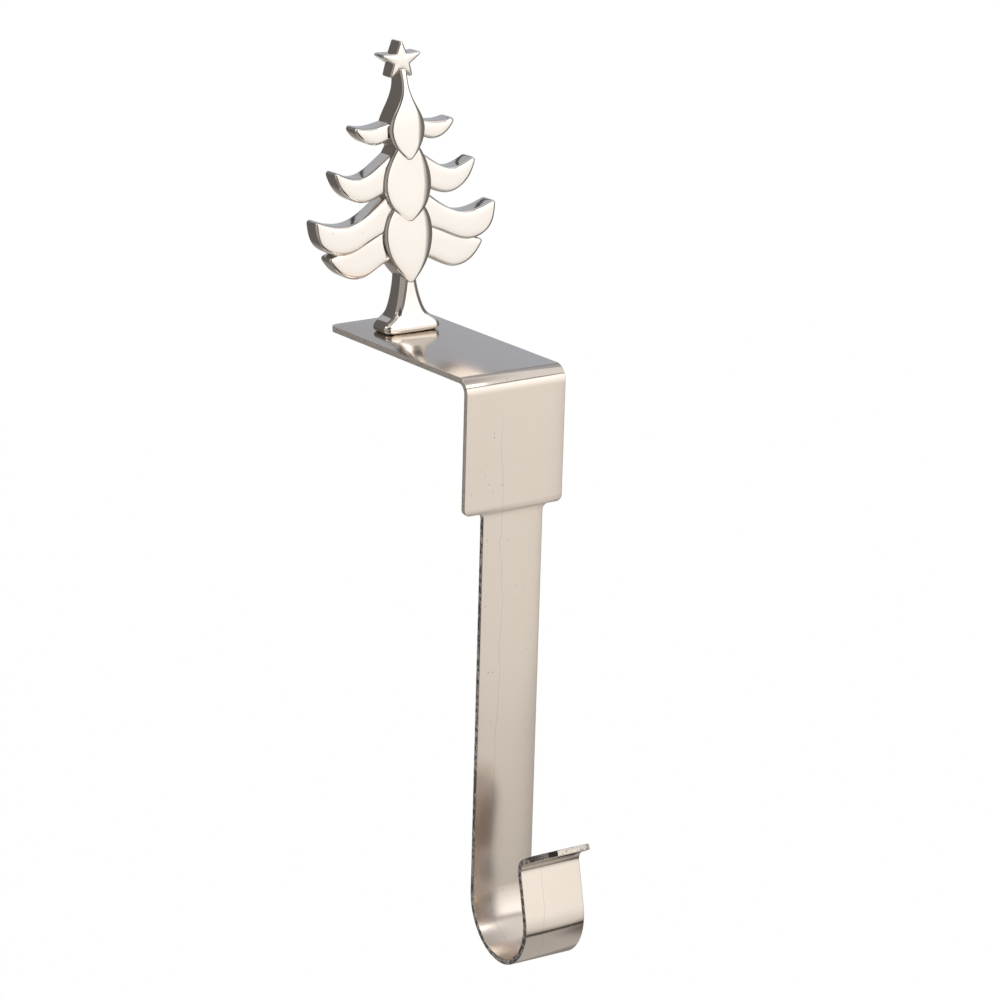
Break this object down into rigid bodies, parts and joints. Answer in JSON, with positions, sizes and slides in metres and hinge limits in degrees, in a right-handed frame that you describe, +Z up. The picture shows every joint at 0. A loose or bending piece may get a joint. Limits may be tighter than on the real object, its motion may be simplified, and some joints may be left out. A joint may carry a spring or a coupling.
{
  "type": "mantel stocking holder",
  "caption": "Bent steel bracket for a mantel shelf with a hanging strap and open hook, and a polished cast Christmas tree with a star standing on its plate.",
  "frame": {"origin": "the middle of the top plate's underside, which lies on the shelf", "axes": "+Z up out of the shelf, -Y to the front, away from the shelf's front edge, X across the bracket"},
  "size_m": [0.0488, 0.0835, 0.2078],
  "materials": {
    "bracket_steel": "nickel plated sheet with a soft sheen, small specks and rough sheared edges",
    "tree_polish": "polished and plated casting, nearly mirror bright with a warm tint",
    "screw_steel": "zinc plated, satin"
  },
  "bodies": {
    "root": {"bracket": "bracket_steel", "tree_figure": "tree_polish", "fixing_screws": "screw_steel"}
  },
  "joints": []
}
